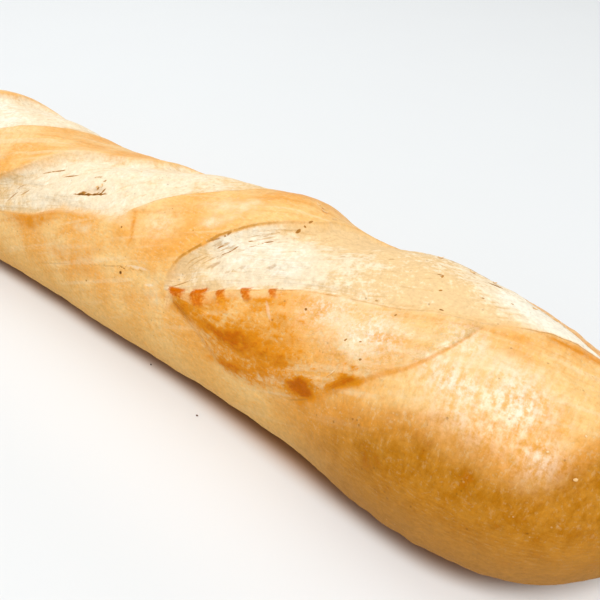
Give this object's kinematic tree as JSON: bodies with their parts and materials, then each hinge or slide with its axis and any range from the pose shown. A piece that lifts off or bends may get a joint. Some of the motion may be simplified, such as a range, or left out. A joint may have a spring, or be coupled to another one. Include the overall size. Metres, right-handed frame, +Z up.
{
  "type": "french bread loaf",
  "caption": "Long rounded loaf of french bread with slanting scores that opened in the oven, a golden crust and a flat underside.",
  "frame": {"origin": "centre of the loaf's box on the surface it rests on", "axes": "+X along the loaf towards its fuller end, +Y to the side away from the viewer of the picture, +Z up"},
  "size_m": [0.452, 0.0737, 0.0608],
  "materials": {
    "crust": "golden baked crust, soft sheen on the smooth skin, matt and pale cream where the scores opened"
  },
  "bodies": {
    "root": {"loaf": "crust"}
  },
  "joints": []
}
